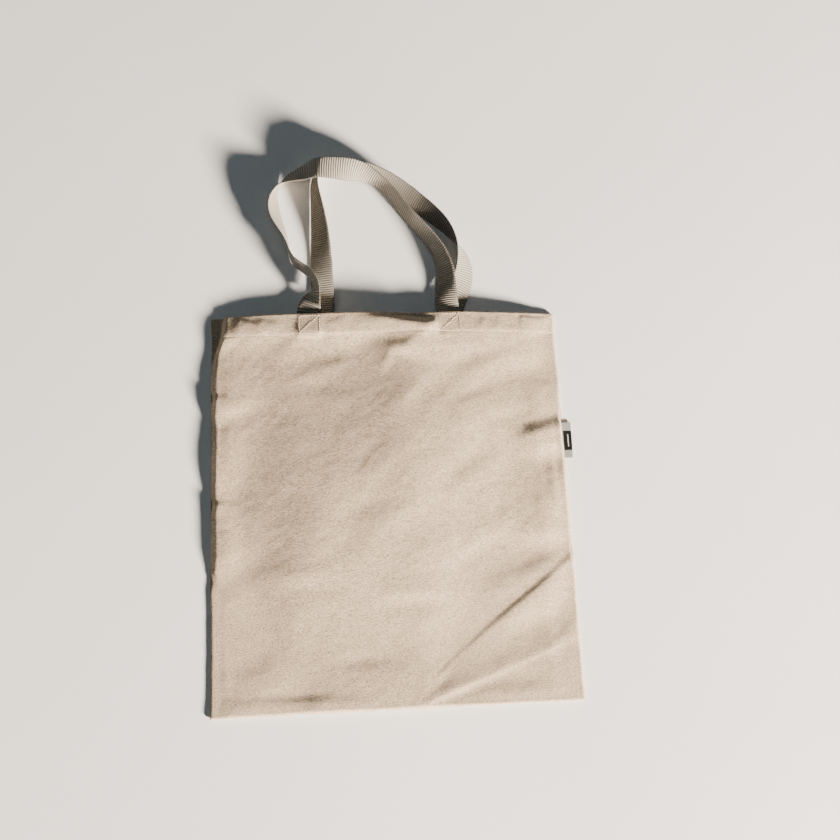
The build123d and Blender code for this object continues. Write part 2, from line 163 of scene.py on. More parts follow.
# soft rolls: kind, middle x and y, direction, half length and half width, height
ROLLS = [
    ("bump", 68, -150, -20, 70, 34, -2.68),
    ("bump", 15, 42, 90, 70, 34, 2.24),
    ("bump", -170, -145, 90, 70, 34, -0.26),
    ("bump", -65, 158, 0, 70, 34, -2.66),
    ("bump", -138, 75, 90, 70, 34, -1.62),
    ("bump", 145, 85, 90, 70, 34, -3.05),
    ("bump", 120, 142, 0, 70, 34, -3.34),
    ("bump", 120, -62, 0, 50, 20, -2.11),
    ("bump", 82, -105, 90, 70, 34, -2.48),
    ("bump", 152, -135, 62, 70, 34, -0.70),
    ("bump", -62, -2, 62, 70, 34, 2.21),
    ("bump", -118, -150, -20, 70, 34, -2.08),
    ("bump", 28, 172, 18, 34, 12, 1.18),
    ("bump", -18, 178, 18, 34, 12, -1.87),
    ("bump", 180, 0, 62, 30, 26, 0.16),
    ("bump", -65, 120, 18, 70, 34, -2.03),
    ("bump", 8, -140, -20, 70, 34, -2.24),
    ("bump", -15, -30, 45, 50, 20, 1.77),
    ("bump", 160, -128, 18, 34, 12, -1.93),
    ("bump", -148, -88, 90, 70, 34, -2.01),
    ("bump", 18, 30, -20, 70, 34, 2.40),
    ("bump", 172, 140, 0, 34, 12, -2.06),
    ("bump", 122, -130, -20, 70, 34, -1.78),
    ("bump", -50, -145, -20, 70, 34, -2.17),
    ("bump", 120, -2, 90, 70, 34, -1.89),
    ("bump", 88, -170, -20, 70, 34, -1.50),
    ("bump", 135, 35, 45, 50, 20, -0.97),
    ("bump", 45, -182, 45, 24, 7, -0.96),
    ("bump", 95, 120, 18, 24, 7, -1.18),
    ("bump", -172, -132, 90, 70, 34, -0.23),
    ("bump", -130, -135, -20, 70, 34, -1.91),
    ("bump", 150, -118, 90, 70, 34, -1.28),
    ("bump", 155, -172, 18, 34, 12, -1.01),
    ("bump", -12, 38, 45, 34, 12, 1.13),
    ("bump", 105, -140, -20, 70, 34, -2.33),
    ("bump", 0, 158, 62, 15, 5, 0.88),
    ("bump", -52, 165, -20, 70, 34, -2.10),
    ("bump", -35, -160, 0, 24, 7, -0.96),
    ("bump", -180, -168, 90, 46, 6, -0.81),
    ("bump", 130, 90, 18, 24, 7, -0.88),
    ("bump", 180, 70, 18, 46, 6, -0.72),
    ("bump", 58, -152, 90, 50, 20, -1.19),
    ("bump", 30, 8, 90, 70, 34, 1.93),
    ("bump", -180, 12, 0, 34, 12, -0.88),
    ("bump", -175, -148, 0, 70, 34, -0.74),
    ("bump", -25, 68, 0, 70, 34, 1.87),
    ("bump", 178, 2, 0, 70, 34, 0.22),
    ("bump", -78, 25, 0, 50, 20, 1.56),
    ("bump", -172, -95, 90, 70, 34, -0.78),
    ("bump", -172, -158, 62, 70, 34, -0.91),
    ("bump", 180, 0, 62, 70, 34, 0.10),
    ("bump", -32, -10, 32, 70, 34, 1.67),
    ("bump", -172, -122, 90, 70, 34, -0.36),
    ("bump", -62, -195, 0, 70, 34, -0.62),
    ("bump", 75, 142, 45, 34, 12, -0.79),
    ("bump", -62, -198, 18, 70, 34, -0.36),
    ("bump", -175, -95, -20, 70, 34, -1.32),
    ("bump", 38, 182, 32, 46, 6, 0.80),
    ("bump", -70, 170, -20, 34, 12, -1.48),
    ("bump", -30, -195, 0, 70, 34, -0.66),
    ("bump", 32, 170, 0, 46, 6, 0.80),
    ("bump", 180, 8, -20, 30, 26, 0.25),
    ("bump", -168, 178, 45, 24, 7, -0.74),
    ("bump", -178, -155, 32, 70, 34, -1.09),
    ("bump", -62, -198, 32, 70, 34, -0.07),
    ("bump", 100, -78, 18, 34, 12, -0.93),
    ("bump", 180, 2, 90, 30, 26, 0.14),
    ("bump", -180, 95, 90, 46, 6, -0.69),
    ("bump", -62, -188, -20, 70, 34, -0.89),
    ("bump", 180, -2, 45, 70, 34, 0.11),
    ("bump", -60, -198, 90, 70, 34, 0.30),
    ("bump", -95, -198, 18, 70, 34, -0.65),
    ("bump", 178, 2, -20, 50, 20, 0.18),
    ("bump", 168, 182, 18, 24, 7, -0.78),
    ("step", -45, -185, 0, 70, 34, -0.17),
    ("step", 32, -185, -20, 70, 34, -1.28),
    ("step", 168, 42, 90, 70, 34, -1.01),
    ("step", -108, 180, 0, 70, 34, 2.05),
    ("step", 160, 125, 18, 70, 34, -1.12),
    ("step", -62, -190, -20, 70, 34, -0.14),
    ("step", -68, -192, 0, 70, 34, -0.06),
    ("step", -180, -142, 90, 46, 6, -1.27),
    ("step", 180, 35, 62, 50, 20, -1.75),
    ("step", 105, 155, 18, 34, 12, -1.39),
    ("step", -170, 100, 18, 34, 12, 1.71),
    ("step", -82, -195, 0, 50, 20, -0.46),
    ("step", 18, -185, -20, 70, 34, -0.66),
    ("step", 122, -192, 0, 34, 12, -1.69),
    ("step", 88, 75, 62, 30, 26, 1.79),
    ("step", -178, -65, 32, 50, 20, 1.47),
    ("step", 75, -190, 18, 46, 6, 0.91),
    ("step", -172, 30, 62, 30, 26, 2.30),
    ("step", -165, 178, 18, 50, 20, 2.16),
    ("step", -12, -190, -20, 70, 34, 0.12),
    ("step", -175, -190, 45, 30, 26, -1.22),
    ("step", -8, -192, 0, 70, 34, -0.21),
    ("step", 155, -65, 18, 34, 12, -1.49),
    ("step", -30, -185, -20, 70, 34, -0.21),
    ("step", -175, -102, 90, 34, 12, -1.06),
    ("step", -82, -190, 0, 70, 34, -0.33),
    ("step", 18, -100, 0, 34, 12, 1.70),
    ("step", 5, -190, -20, 70, 34, 0.12),
    ("step", 40, -192, -20, 30, 26, -1.07),
    ("step", -90, -195, 18, 30, 26, -0.96),
    ("step", 180, 50, 0, 34, 12, 1.68),
    ("step", -68, 155, 18, 34, 12, -0.94),
    ("step", -95, -80, 0, 34, 12, 1.37),
    ("step", -102, -195, 0, 46, 6, -0.86),
    ("step", 78, 30, 32, 34, 12, -1.08),
    ("step", -60, -190, 18, 70, 34, -0.16),
    ("step", -2, 180, -20, 70, 34, 2.17),
    ("step", 55, -65, 18, 30, 26, 1.53),
    ("step", 178, 140, 90, 50, 20, -1.45),
    ("step", 178, -42, -20, 70, 34, 0.87),
    ("step", 22, 108, 45, 34, 12, 0.77),
    ("step", -105, 182, 45, 34, 12, -1.00),
    ("step", -162, 128, 90, 70, 34, 1.37),
    ("step", -172, 82, 62, 70, 34, 0.91),
    ("step", 28, 160, -20, 24, 7, 1.26),
    ("step", -60, -195, -20, 50, 20, -0.56),
    ("step", -122, -195, 0, 50, 20, -0.57),
    ("step", -72, -195, 0, 50, 20, -0.35),
    ("step", 5, 175, 90, 70, 34, -1.43),
    ("step", 175, -145, 90, 34, 12, -0.98),
    ("step", -38, -195, 0, 50, 20, -0.07),
    ("step", -85, -192, 0, 30, 26, -0.37),
    ("step", 178, -50, -20, 50, 20, 0.87),
    ("step", -40, -190, -20, 70, 34, -0.11),
    ("step", 178, 28, 90, 46, 6, 0.71),
    ("step", -72, -188, -20, 70, 34, -0.18),
    ("step", 180, 15, 90, 50, 20, -0.92),
    ("step", -72, -192, -20, 30, 26, 0.31),
    ("step", -72, -192, 18, 70, 34, -0.46),
    ("step", -138, -160, 62, 50, 20, -0.56),
    ("step", -165, -25, 90, 34, 12, 0.69),
    ("step", -112, -198, 18, 70, 34, -0.66),
    ("step", 118, -112, 32, 34, 12, -0.62),
    ("step", -95, -178, -20, 70, 34, -0.41),
    ("step", 100, -42, 32, 34, 12, 0.71),
    ("step", -25, -82, 18, 70, 34, 0.94),
    ("step", -62, -180, -20, 70, 34, -0.41),
    ("step", 142, -42, 0, 34, 12, 0.89),
    ("step", -20, -10, 18, 34, 12, -0.64),
    ("step", -120, -40, 90, 70, 34, -0.95),
    ("step", -72, 120, 0, 34, 12, -0.70),
    ("step", -62, -25, 90, 30, 26, 0.89),
    ("step", -175, -195, 0, 34, 12, -0.92),
]
HEM_FOLDS = [
    dict(line=[(-178, 209), (-158, 204), (-140, 198), (-118, 190)], amp=(1.6, 1.0), steep=5, soft=8, ends=(0.2, 0.4)),
    dict(line=[(-152, 207), (-130, 202), (-108, 195)], amp=(1.0, 1.0), steep=4.5, soft=6, ends=(0.3, 0.4)),
    dict(line=[(-36, 209), (8, 205), (42, 199), (66, 206)], amp=(2.8, 5.4), steep=(8, 13), soft=9, ends=(0.3, 0.25)),
    dict(line=[(148, 206), (166, 204), (186, 205)], amp=(1.2, 1.4), steep=4, soft=8),
    dict(line=[(104, 203), (120, 198), (132, 192)], amp=(0.8, 0.6), steep=5, soft=9),
    dict(line=[(-66, 198), (-52, 203), (-40, 204)], amp=(0.7, 0.6), steep=5, soft=9),
]


def front_z(x, y, folds=True):
    """Outer face of the front panel in the flat cloth's own coordinates."""
    x, y = np.asarray(x, float), np.asarray(y, float)
    z = arch(x, y)
    if folds:
        # the cloth bows up quickly from the seams
        z = z + PLUMP * smooth(0, 6, HW + x) * smooth(0, 34, HW - x) * smooth(-2, 42, y + HH) * (1 - 0.6 * smooth(185, 209, y))
        w = np.zeros(np.broadcast(x, y).shape)
        xx, yy = np.broadcast_arrays(x, y)
        for f in FOLDS:
            w = w + RELIEF * fold(xx, yy, **f)
        for r in ROLLS:
            w = w + RELIEF * roll(xx, yy, *r)
        hem = smooth(183, 188, yy)
        w = w * (1 - 0.25 * hem)
        for f in HEM_FOLDS:
            w = w + fold(xx, yy, **f)
        w = w + dent(xx, yy, 30, 209, 26, 9, 0, -2.6)
        # broad rolls from the lower left to the upper right, and small crumples
        w = w + 0.2 * value_noise(xx, yy, 34, 11, ang=32, stretch=2.2)
        w = w + 0.16 * value_noise(xx, yy, 15, 12, ang=28, stretch=2.0) * (1 - 0.5 * hem)
        w = w + 0.14 * value_noise(xx, yy, 6.5, 13, ang=20, stretch=1.6)
        # the box stitching holds the cloth flat
        for bx in FRONT_END_X:
            flat = (1 - smooth(10, 17, np.abs(xx - bx))) * smooth(181, 187, yy)
            w = w * (1 - 0.8 * flat)
        # nothing lifts at the seams
        w = w * smooth(0, 7, HW - np.abs(xx) + 2.5) * smooth(0, 6, yy + HH + 1.5)
        z = z + w
        # the cloth lies on the back panel at its lowest
        z = 3.1 + np.logaddexp(0, (z - 3.1) / 0.7) * 0.7
    # the hem is thicker, and its stitch line is pulled in
    z = z + 0.35 * smooth(HEM_LINE_Y - 1.2, HEM_LINE_Y + 1.2, y) - 0.45 * np.exp(-(((y - HEM_LINE_Y) / 1.3) ** 2))
    return z


def edge_round(z, x, y, low, r=3.4):
    """Rolls the cloth down to the seam at the sides and the bottom."""
    d = np.minimum(HW - np.abs(x), y + HH)
    t = np.clip(1 - d / r, 0, 1)
    return low + (z - low) * np.sqrt(np.clip(1 - t * t, 0, 1))


def front_place(x, y):
    """Where the flat cloth's point (x, y) lies: the upper left corner is drawn in, and the edges wander a little."""
    pull = smooth(148, 212, y) * smooth(110, 190, -x)
    edge = smooth(150, 190, np.abs(x)) * np.sign(x)
    wander = 0.9 * value_noise(y * 0 + 3.0, y, 26, 21) + 0.5 * value_noise(y * 0 + 9.0, y, 11, 22)
    bite = 1.6 * np.exp(-(((y - 120) / 5) ** 2)) + 1.6 * np.exp(-(((y - 4) / 6) ** 2)) + 1.4 * np.exp(-(((y + 76) / 5) ** 2))
    bite_r = 1.2 * np.exp(-(((y - 92) / 5) ** 2)) + 1.4 * np.exp(-(((y + 56) / 6) ** 2)) + 0.9 * np.exp(-(((y - 137) / 4) ** 2))
    px = x + 12.5 * pull + edge * (wander * 0.55 - 0.9) + np.where(x < 0, bite, -bite_r) * np.abs(edge)
    py = y - 1.0 * np.exp(-(((x - 30) / 28) ** 2)) * smooth(190, 210, y) + 0.5 * value_noise(x, x * 0 + 4.0, 40, 23) * smooth(180, 210, y)
    return px, py


# -------------------------------------------------------------- mesh makers --
def make_mesh(name, verts, faces, uv=None, smooth_shade=True):
    me = bpy.data.meshes.new(name)
    me.from_pydata((np.asarray(verts) * MM).tolist(), [], [tuple(int(i) for i in f) for f in faces])
    if uv is not None:
        layer = me.uv_layers.new(name="UVMap")
        loops = np.zeros(len(me.loops), np.int32)
        me.loops.foreach_get("vertex_index", loops)
        layer.data.foreach_set("uv", np.asarray(uv, np.float32)[loops].ravel())
    if smooth_shade:
        me.polygons.foreach_set("use_smooth", np.ones(len(me.polygons), bool))
    me.update()
    ob = bpy.data.objects.new(name, me)
    bpy.context.scene.collection.objects.link(ob)
    return ob


def grid_faces(nu, nv, base=0, flip=False):
    i, j = np.meshgrid(np.arange(nu - 1), np.arange(nv - 1), indexing="ij")
    a = base + i * nv + j
    q = np.stack([a, a + nv, a + nv + 1, a + 1], -1).reshape(-1, 4)
    return q[:, ::-1] if flip else q


def shell(name, outer, inner, flip=False, open_start=False, start_normals=None):
    """A sheet with thickness from two grids of points, indexed [x][y]. open_start leaves the first column without a
    rim, where another sheet carries on."""
    nu, nv = outer.shape[:2]
    n = nu * nv
    verts = np.r_[outer.reshape(-1, 3), inner.reshape(-1, 3)]
    f = [grid_faces(nu, nv, 0, flip), grid_faces(nu, nv, n, not flip)]
    ring = ([(i, 0) for i in range(nu)] + [(nu - 1, j) for j in range(1, nv)]
            + [(i, nv - 1) for i in range(nu - 2, -1, -1)])
    if not open_start:
        ring += [(0, j) for j in range(nv - 2, 0, -1)]
    r = np.array([i * nv + j for i, j in ring])
    s = np.roll(r, -1)
    if open_start:
        r, s = r[:-1], s[:-1]
    q = np.stack([r, r + n, s + n, s], -1)
    f.append(q[:, ::-1] if flip else q)
    ob = make_mesh(name, verts, np.concatenate(f))
    if start_normals is not None:
        nn = np.zeros((2 * n, 3))
        nn[:nv] = start_normals
        nn[n:n + nv] = -start_normals
        ob.data.normals_split_custom_set_from_vertices(nn.tolist())
    return ob


def spaced(a, b, step, extra=()):
    v = list(np.arange(a, b, step)) + [b] + list(extra)
    v = np.unique(np.round([k for k in v if min(a, b) <= k <= max(a, b)], 4))
    keep = [v[0]]
    for k in v[1:]:
        if k - keep[-1] > 0.28:
            keep.append(k)
        elif k == v[-1]:
            keep[-1] = k
    return np.array(keep)


def thread_run(name, a_pts, normals, length, pitch, radius, jitter=0.12):
    """Stitches along a line: each a small arched bar of thread that dips into the cloth at both ends."""
    a_pts = np.asarray(a_pts, float)
    d = np.r_[0, np.cumsum(np.linalg.norm(np.diff(a_pts, axis=0), axis=1))]
    verts, faces = [], []
    k, n_ring, n_sec = 0, 7, 6
    pos = pitch * 0.5
    while pos < d[-1] - pitch * 0.4:
        c = np.array([np.interp(pos, d, a_pts[:, i]) for i in range(3)])
        c2 = np.array([np.interp(min(pos + 0.3, d[-1]), d, a_pts[:, i]) for i in range(3)])
        n = np.array([np.interp(pos, d, normals[:, i]) for i in range(3)])
        t = c2 - c
        if np.linalg.norm(t) < 1e-6:
            break
        t /= np.linalg.norm(t)
        n /= np.linalg.norm(n)
        b = np.cross(n, t)
        turn = rng.normal(0, jitter)
        t2 = t * math.cos(turn) + b * math.sin(turn)
        b2 = np.cross(n, t2)
        c = c + b * rng.normal(0, 0.08)
        half = length / 2 * (1 + rng.normal(0, 0.05))
        base = len(verts)
        for s in np.linspace(-1, 1, n_sec):
            lift = radius * (1.15 - 1.9 * s ** 4)
            r = radius * (0.45 + 0.55 * math.sqrt(max(0, 1 - s ** 4)))
            for q in range(n_ring):
                an = 2 * math.pi * q / n_ring
                verts.append(c + t2 * s * half + n * (lift + r * math.sin(an)) + b2 * r * math.cos(an))
        for i in range(n_sec - 1):
            for q in range(n_ring):
                q2 = (q + 1) % n_ring
                faces.append((base + i * n_ring + q, base + i * n_ring + q2, base + (i + 1) * n_ring + q2, base + (i + 1) * n_ring + q))
        faces.append(tuple(base + q for q in range(n_ring))[::-1])
        faces.append(tuple(base + (n_sec - 1) * n_ring + q for q in range(n_ring)))
        pos += pitch
        k += 1
    return verts, faces


def merged(name, runs):
    verts, faces = [], []
    for v, f in runs:
        base = len(verts)
        verts += list(v)
        faces += [tuple(i + base for i in q) for q in f]
    return make_mesh(name, np.array(verts), faces)


# ------------------------------------------------------------- the two panels --
def front_surface(x, y):
    z = front_z(x, y)
    z = edge_round(z, x, y, 1.95)
    px, py = front_place(x, y)
    return np.stack([px, py, z], -1)


def front_thickness(x, y):
    t = CLOTH + HEM_PLY * smooth(HH - HEM_D - 0.8, HH - HEM_D + 0.8, y) * smooth(SEAM_D - 1, SEAM_D + 1, HW - np.abs(x))
    t = np.maximum(t, CLOTH + 0.75 * np.maximum(1 - smooth(SEAM_D - 0.8, SEAM_D + 0.8, HW - np.abs(x)), 1 - smooth(SEAM_D - 0.8, SEAM_D + 0.8, y + HH)))
    return t


def front_inner(x, y):
    p = front_surface(x, y)
    d = np.minimum(HW - np.abs(x), y + HH)
    t = front_thickness(x, y) * smooth(-0.5, 3.0, d)
    z = np.maximum(p[..., 2] - np.maximum(t, 0.12), 1.83 + 0 * t)
    z = np.minimum(z, p[..., 2] - 0.1)
    # the mouth edge is a soft fold, not a cut edge
    back_off = 0.0
    return np.stack([p[..., 0], p[..., 1] - back_off, z], -1)


STEP = 2.0
ys = spaced(-HH, HH, STEP, list(np.arange(-HH, -HH + 4, 0.6)) + list(np.arange(180, 191, 0.7)) + list(np.arange(205, 210, 1.0)))
xs_half = spaced(0, HW, STEP, list(np.arange(HW - 4, HW, 0.6)) + [HW - SEAM_D, HW - SEAM_D - 1.2, HW - SEAM_D + 1.2])


def roll_mouth(outer, inner, x, y):
    """Rounds the folded edge at the mouth: the two faces meet there in a curve."""
    d = HH - y
    t = np.clip(1 - d / 1.3, 0, 1)
    mid = (outer[..., 2] + inner[..., 2]) / 2
    k = np.sqrt(np.clip(1 - t * t, 0, 1))
    outer[..., 2] = mid + (outer[..., 2] - mid) * (0.25 + 0.75 * k)
    inner[..., 2] = mid + (inner[..., 2] - mid) * (0.25 + 0.75 * k)
    return outer, inner


X, Y = np.meshgrid(xs_half, ys, indexing="ij")
halves = {}
for side, sx in (("right", 1.0), ("left", -1.0)):
    gx = X * sx
    o, i = front_surface(gx, Y), front_inner(gx, Y)
    o, i = roll_mouth(o, i, gx, Y)
    halves[side] = (o, i)
    # the two halves meet on the bag's middle line with the same slope across it
e = 0.8
dx = front_surface(0 * ys + e, ys) - front_surface(0 * ys - e, ys)
dy = np.gradient(front_surface(0 * ys, ys), axis=0)
mid_normals = np.cross(dx, dy)
mid_normals /= np.linalg.norm(mid_normals, axis=1)[:, None]
for side in halves:
    o, i = halves[side]
    halves[side] = shell("front_panel_" + side, o, i, flip=(side == "left"), start_normals=mid_normals)


def back_outer(x, y):
    z = 0.0 * x
    d = np.minimum(HW - np.abs(x), y + HH)
    t = np.clip(1 - d / 2.4, 0, 1)
    z = 1.72 * (1 - np.sqrt(np.clip(1 - t * t, 0, 1)))
    z = z + 0.03 + 0.10 * (1 + value_noise(x, y, 22, 31, 20, 1.8)) * smooth(0, 20, d)
    return z


def back_inner(x, y):
    t = CLOTH + HEM_PLY * smooth(HH - HEM_D - 0.8, HH - HEM_D + 0.8, y) * smooth(SEAM_D - 1, SEAM_D + 1, HW - np.abs(x))
    t = np.maximum(t, CLOTH + 0.75 * np.maximum(1 - smooth(SEAM_D - 0.8, SEAM_D + 0.8, HW - np.abs(x)), 1 - smooth(SEAM_D - 0.8, SEAM_D + 0.8, y + HH)))
    z = t + 0.08 + 0.10 * value_noise(x, y, 16, 33, 30, 2.0) * smooth(12, 30, HW - np.abs(x)) * smooth(12, 30, y + HH)
    return z


def back_place(x, y):
    edge = smooth(150, 190, np.abs(x)) * np.sign(x)
    wander = 0.9 * value_noise(y * 0 + 3.0, y, 26, 21) + 0.5 * value_noise(y * 0 + 9.0, y, 11, 22)
    px = x + edge * (wander * 0.5 - 0.6)
    return px, y + 0 * x


bxs = spaced(-HW, HW, 4.0, list(np.arange(HW - 3, HW, 0.6)) + list(-np.arange(HW - 3, HW, 0.6)) + [s * (HW - SEAM_D + k) for s in (-1, 1) for k in (-1, 0, 1)])
bys = spaced(-HH, HH, 4.0, list(np.arange(-HH, -HH + 3, 0.6)) + [-HH + SEAM_D + k for k in (-1, 0, 1)] + list(np.arange(183.5, 188, 0.7)) + [208.5, 209.3])
BX, BY = np.meshgrid(bxs, bys, indexing="ij")
px, py = back_place(BX, BY)
bo = np.stack([px, py, back_outer(BX, BY)], -1)
bi = np.stack([px, py, np.maximum(back_inner(BX, BY), bo[..., 2] + 0.1)], -1)
bi[..., 2] = np.where(np.minimum(HW - np.abs(BX), BY + HH) < 1.0, np.minimum(bi[..., 2], 1.80), bi[..., 2])
bi, bo = roll_mouth(bi, bo, BX, BY)
back = shell("back_panel_cloth", bi, bo, flip=False)


# ------------------------------------------------------------------- webbing --
FRONT_ROUTE = [
    (-83.5, 213.6, 10.2, 1.000, 0.000, 0.000),
    (-82.8, 217.6, 10.3, 0.985, -0.100, 0.090),
    (-80.9, 223.0, 11.6, 0.850, -0.400, 0.330),
    (-76.9, 231.9, 16.1, 0.470, -0.428, 0.772),
    (-75.8, 241.4, 18.3, 0.276, -0.056, 0.960),
    (-78.3, 250.3, 18.1, 0.041, 0.137, 0.990),
    (-83.6, 258.0, 16.7, -0.072, 0.138, 0.988),
    (-90.9, 264.4, 15.4, -0.088, 0.100, 0.991),
    (-98.0, 271.0, 14.2, -0.081, 0.086, 0.993),
    (-102.6, 279.3, 13.1, -0.053, 0.079, 0.995),
    (-105.3, 289.2, 12.9, -0.092, 0.047, 0.995),
    (-108.0, 299.3, 12.7, -0.226, -0.027, 0.974),
    (-111.6, 308.9, 12.2, -0.357, -0.121, 0.926),
    (-115.4, 318.2, 11.7, -0.446, -0.170, 0.879),
    (-118.6, 327.5, 11.5, -0.497, -0.146, 0.855),
    (-120.3, 337.1, 11.7, -0.479, -0.053, 0.876),
    (-119.8, 347.2, 12.5, -0.313, 0.031, 0.949),
    (-116.7, 357.2, 12.8, -0.007, -0.027, 1.000),
    (-111.2, 365.7, 12.2, 0.269, -0.280, 0.922),
    (-103.6, 371.9, 12.6, 0.294, -0.579, 0.761),
    (-94.8, 376.0, 13.7, 0.175, -0.793, 0.583),
    (-85.9, 378.3, 16.5, -0.018, -0.939, 0.343),
    (-77.6, 379.2, 22.7, -0.071, -0.989, 0.129),
    (-69.2, 379.0, 27.5, -0.072, -0.995, 0.072),
    (-60.1, 378.4, 28.4, -0.072, -0.997, -0.024),
    (-50.4, 377.8, 28.0, -0.072, -0.985, -0.158),
    (-40.5, 377.3, 26.7, -0.111, -0.913, -0.393),
    (-30.5, 377.1, 23.9, -0.242, -0.711, -0.660),
    (-20.8, 376.9, 19.8, -0.390, -0.437, -0.811),
    (-11.5, 374.6, 16.4, -0.339, -0.181, -0.923),
    (-2.9, 369.8, 14.4, -0.221, -0.083, -0.972),
    (4.9, 363.3, 13.5, -0.154, -0.068, -0.986),
    (11.5, 355.8, 13.0, -0.149, -0.072, -0.986),
    (17.1, 348.0, 12.8, -0.172, -0.086, -0.981),
    (22.2, 339.9, 12.7, -0.194, -0.108, -0.975),
    (27.6, 331.7, 12.7, -0.204, -0.136, -0.969),
    (33.8, 323.5, 12.6, -0.207, -0.165, -0.964),
    (40.6, 315.4, 12.6, -0.224, -0.185, -0.957),
    (47.2, 307.3, 12.5, -0.250, -0.192, -0.949),
    (53.3, 299.3, 12.4, -0.284, -0.189, -0.940),
    (58.6, 291.1, 12.2, -0.334, -0.176, -0.926),
    (63.1, 282.7, 12.0, -0.408, -0.153, -0.900),
    (66.4, 273.7, 11.5, -0.507, -0.112, -0.855),
    (68.6, 264.2, 11.0, -0.621, -0.043, -0.783),
    (69.4, 254.0, 10.3, -0.728, 0.023, -0.685),
    (69.4, 243.3, 9.7, -0.826, 0.049, -0.562),
    (69.1, 232.8, 9.2, -0.915, 0.028, -0.403),
    (69.2, 222.7, 9.2, -0.978, -0.049, -0.205),
    (70.2, 213.6, 10.2, -1.000, 0.000, 0.000),
]
BACK_ROUTE = [
    (-68.5, 213.6, 3.3, 1.000, 0.000, 0.000),
    (-68.4, 223.9, 3.5, 0.998, -0.013, 0.064),
    (-68.3, 234.1, 3.8, 0.992, -0.013, 0.124),
    (-68.2, 244.1, 4.1, 0.983, -0.013, 0.184),
    (-68.2, 254.0, 4.6, 0.969, -0.011, 0.245),
    (-68.2, 263.8, 5.1, 0.951, -0.009, 0.308),
    (-68.3, 273.6, 5.7, 0.928, -0.006, 0.374),
    (-68.6, 283.4, 6.6, 0.896, -0.002, 0.443),
    (-68.9, 293.2, 7.5, 0.856, 0.001, 0.516),
    (-69.4, 303.0, 8.4, 0.805, 0.005, 0.593),
    (-70.0, 313.0, 9.3, 0.742, 0.007, 0.671),
    (-70.8, 323.1, 10.2, 0.664, 0.008, 0.748),
    (-71.7, 333.3, 11.1, 0.572, 0.008, 0.820),
    (-72.9, 343.7, 11.8, 0.468, 0.004, 0.884),
    (-74.1, 354.3, 12.2, 0.377, -0.017, 0.926),
    (-74.6, 364.5, 12.4, 0.324, -0.058, 0.944),
    (-73.4, 373.9, 12.4, 0.305, -0.127, 0.944),
    (-69.9, 381.8, 12.3, 0.260, -0.253, 0.932),
    (-63.3, 387.0, 12.7, 0.109, -0.314, 0.943),
    (-54.3, 389.6, 13.0, 0.004, -0.216, 0.976),
    (-43.9, 389.9, 13.2, -0.020, -0.069, 0.997),
    (-33.5, 388.5, 13.3, 0.009, 0.070, 0.997),
    (-23.4, 385.8, 13.3, 0.065, 0.180, 0.981),
    (-13.9, 382.2, 13.2, 0.128, 0.258, 0.958),
    (-4.8, 377.9, 13.0, 0.187, 0.309, 0.933),
    (3.9, 373.0, 12.7, 0.239, 0.343, 0.908),
    (12.2, 367.6, 12.4, 0.283, 0.365, 0.887),
    (20.2, 361.7, 12.1, 0.316, 0.379, 0.870),
    (28.0, 355.5, 11.9, 0.337, 0.387, 0.858),
    (35.6, 349.0, 11.9, 0.344, 0.389, 0.855),
    (43.2, 342.2, 11.9, 0.332, 0.385, 0.861),
    (50.6, 335.3, 12.2, 0.305, 0.366, 0.879),
    (58.0, 328.3, 12.5, 0.272, 0.319, 0.908),
    (65.1, 321.0, 12.8, 0.229, 0.243, 0.943),
    (71.6, 313.4, 13.0, 0.166, 0.136, 0.977),
    (77.6, 305.5, 12.9, 0.066, 0.000, 0.998),
    (82.7, 297.1, 12.8, -0.088, -0.148, 0.985),
    (86.9, 288.3, 12.1, -0.305, -0.257, 0.917),
    (89.8, 279.0, 10.8, -0.538, -0.268, 0.799),
    (91.2, 269.5, 9.3, -0.725, -0.170, 0.667),
    (90.9, 259.9, 7.8, -0.840, 0.012, 0.543),
    (88.7, 250.2, 6.2, -0.881, 0.226, 0.415),
    (84.9, 240.6, 4.5, -0.889, 0.367, 0.273),
    (80.5, 231.2, 3.0, -0.898, 0.414, 0.151),
    (76.6, 222.2, 2.4, -0.930, 0.363, 0.057),
    (74.0, 213.6, 3.3, -1.000, 0.000, 0.000),
]


def catmull(points, q):
    p = np.asarray(points, float)
    n = len(p)
    ext = np.vstack([2 * p[0] - p[1], p, 2 * p[-1] - p[-2]])
    i = np.clip(np.floor(q).astype(int), 0, n - 2)
    t = (q - i)[:, None]
    a, b, c, d = ext[i], ext[i + 1], ext[i + 2], ext[i + 3]
    return 0.5 * ((2 * b) + (-a + c) * t + (2 * a - 5 * b + 4 * c - d) * t ** 2 + (-a + 3 * b - 3 * c + d) * t ** 3)


RIB = 2.55


